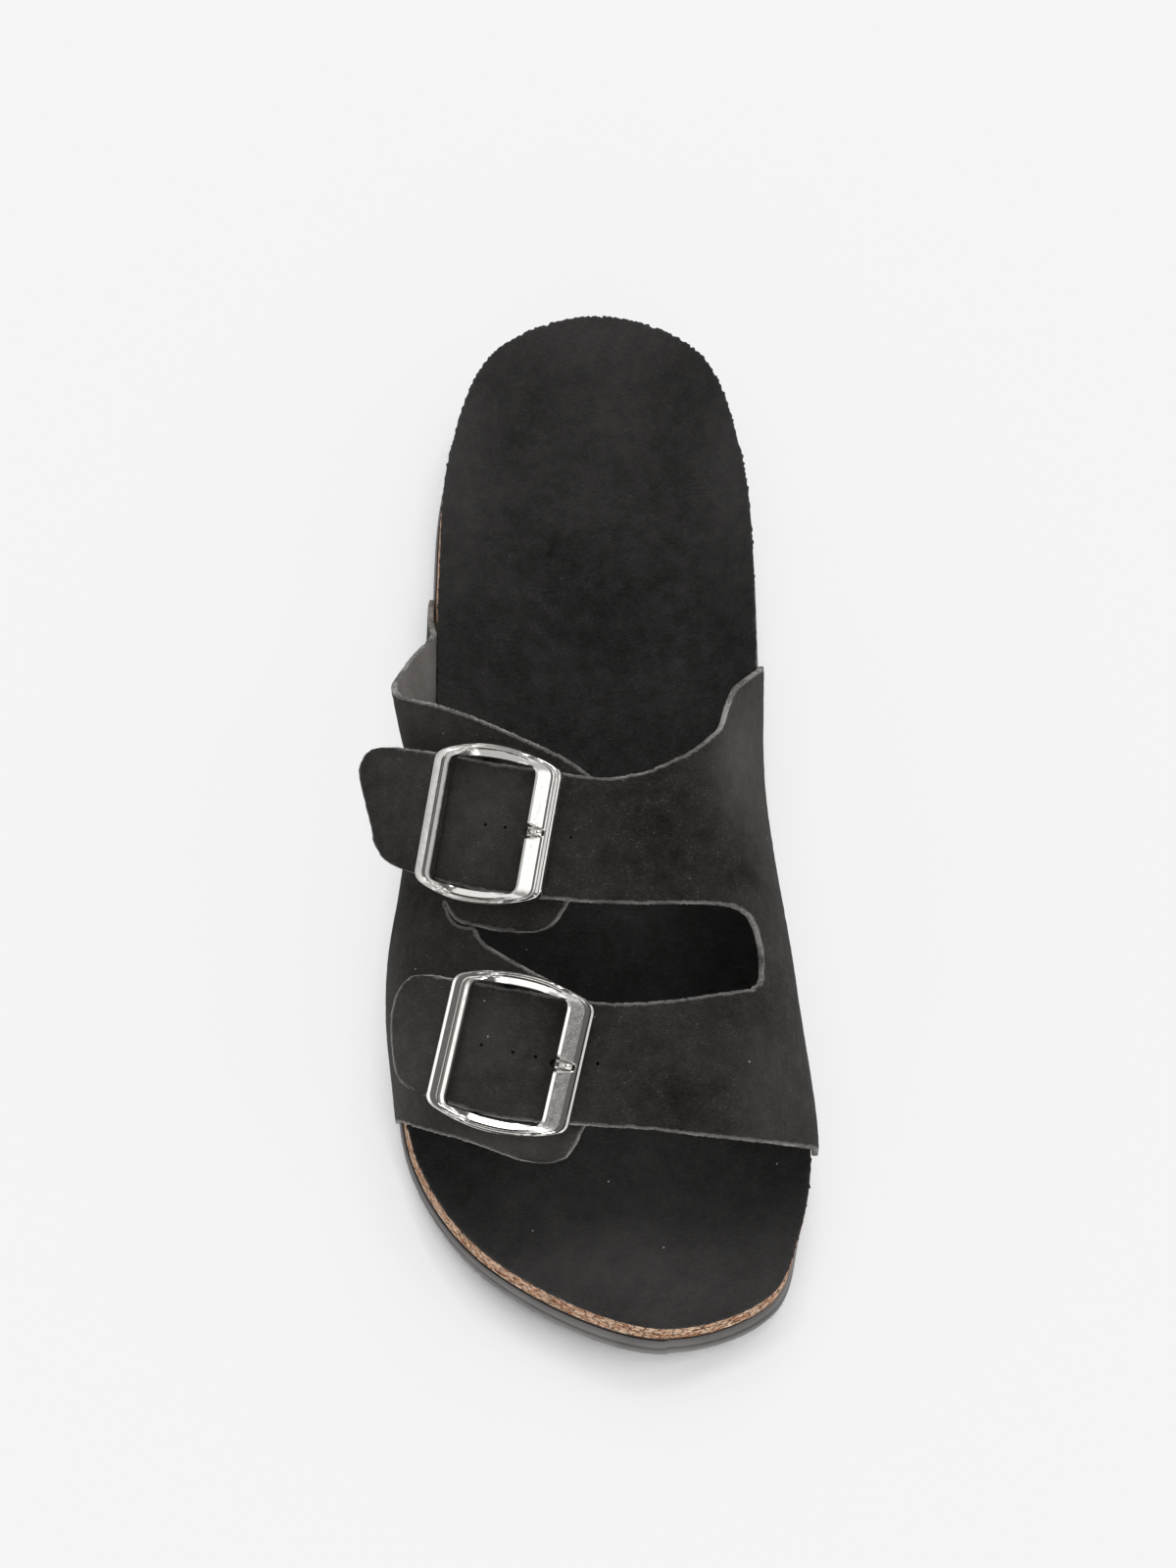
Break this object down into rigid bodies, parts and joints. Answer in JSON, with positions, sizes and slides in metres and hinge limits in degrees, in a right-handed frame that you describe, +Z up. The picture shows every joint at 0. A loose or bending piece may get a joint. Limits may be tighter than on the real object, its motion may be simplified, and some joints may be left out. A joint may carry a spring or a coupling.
{
  "type": "buckle mule",
  "caption": "Open-backed right-foot mule with a contoured cork footbed, foam rubber outsole and suede straps that fasten with metal buckles on the outer side.",
  "frame": {"origin": "on the floor under the middle of the outsole", "axes": "+X to the inner side of the foot, +Y to the heel, +Z up"},
  "size_m": [0.1068, 0.2547, 0.0733],
  "materials": {
    "foam_rubber": "matt moulded foam rubber",
    "cork": "pressed cork, matt",
    "insole_suede": "napped suede",
    "oiled_suede": "oiled suede, matt, with lighter cut edges",
    "polished_metal": "polished cast metal"
  },
  "bodies": {
    "root": {"outsole": "foam_rubber", "midsole": "cork", "insole": "insole_suede", "upper": "oiled_suede", "buckle_rear_frame": "polished_metal", "buckle_rear_pin": "polished_metal", "buckle_front_frame": "polished_metal", "buckle_front_pin": "polished_metal"}
  },
  "joints": []
}
